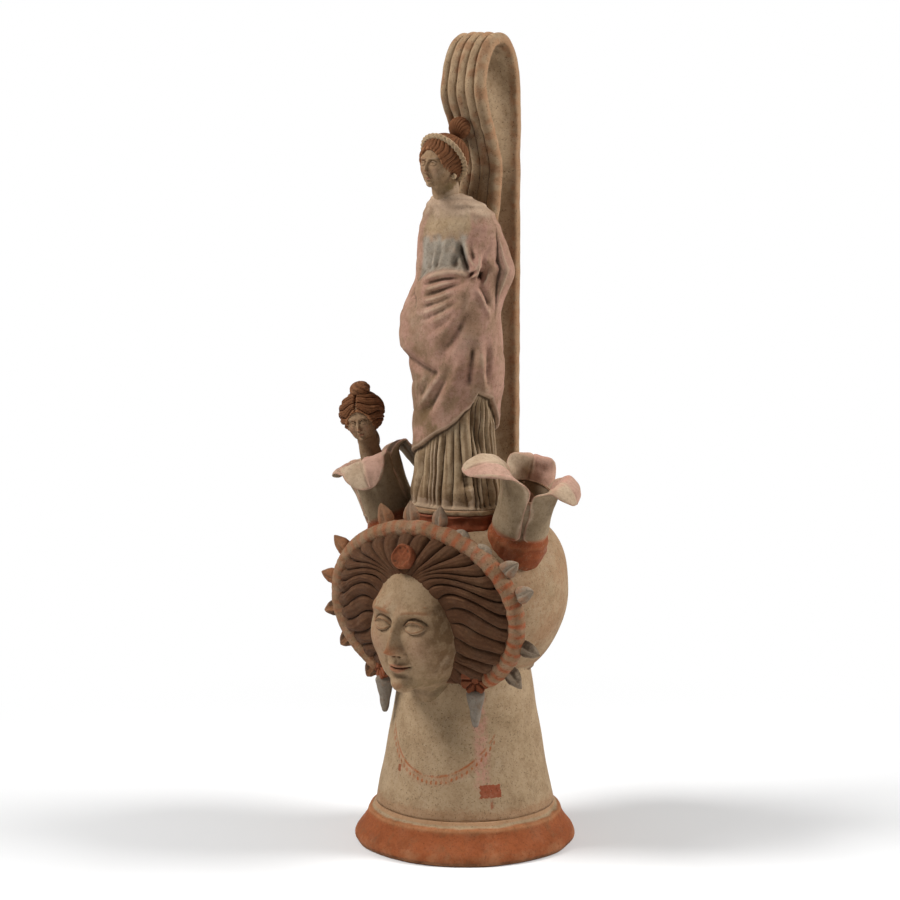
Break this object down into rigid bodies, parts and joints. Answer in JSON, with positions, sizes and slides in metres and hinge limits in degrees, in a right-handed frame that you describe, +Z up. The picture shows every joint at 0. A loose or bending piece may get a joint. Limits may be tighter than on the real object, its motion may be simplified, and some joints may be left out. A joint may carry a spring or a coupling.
{
  "type": "figural vessel",
  "caption": "Tall fired-clay vessel with a face in a budded diadem, shoulder flowers, a bust, a standing draped figure and a looped strap handle.",
  "frame": {"origin": "on the ground, under the middle of the whole vessel's bounding box, 10 mm in front of the foot's axis", "axes": "+Z up, the face and the figure look along -Y, +X at the vessel's own left"},
  "size_m": [0.277, 0.229, 0.76],
  "materials": {
    "cream_slip": "matt cream slip over fired terracotta, worn and stained",
    "orange_paint": "matt orange-red earth paint, rubbed through to slip and clay",
    "hair_paint": "matt reddish-brown paint over combed clay",
    "pink_paint": "matt dusty pink paint over pale slip, worn on the folds",
    "grey_slip": "matt grey-blue and pink washes over pale slip",
    "striped_slip": "matt pale slip with faded red cross stripes"
  },
  "bodies": {
    "root": {"foot_ring": "orange_paint", "neck_wall": "cream_slip", "globe_body": "cream_slip", "face_mask": "cream_slip", "hair_mass": "hair_paint", "diadem_roll": "striped_slip", "brow_medallion": "orange_paint", "diadem_bud_01": "grey_slip", "diadem_bud_02": "grey_slip", "diadem_bud_03": "grey_slip", "diadem_bud_04": "grey_slip", "diadem_bud_05": "grey_slip", "diadem_bud_06": "grey_slip", "diadem_bud_07": "grey_slip", "diadem_bud_08": "grey_slip", "diadem_bud_09": "grey_slip", "diadem_bud_10": "grey_slip", "diadem_bud_11": "grey_slip", "diadem_bud_12": "grey_slip", "diadem_bud_13": "grey_slip", "diadem_bud_14": "grey_slip", "plinth_collar": "orange_paint", "plinth_slab": "cream_slip", "figure_body": "pink_paint", "figure_head": "cream_slip", "figure_hair": "hair_paint", "figure_wreath": "grey_slip", "figure_knot": "hair_paint", "handle_strap": "cream_slip", "ear_rosette_left": "orange_paint", "ear_pendant_left": "grey_slip", "figure_earring_left": "hair_paint", "flower_cup_left": "cream_slip", "flower_petal_left_1": "pink_paint", "flower_petal_left_2": "pink_paint", "flower_petal_left_3": "pink_paint", "ear_rosette_right": "orange_paint", "ear_pendant_right": "grey_slip", "figure_earring_right": "hair_paint", "flower_cup_right": "cream_slip", "flower_petal_right_1": "pink_paint", "flower_petal_right_2": "pink_paint", "flower_petal_right_3": "pink_paint", "bust_head": "cream_slip", "bust_hair": "hair_paint", "bust_knot": "hair_paint"}
  },
  "joints": []
}
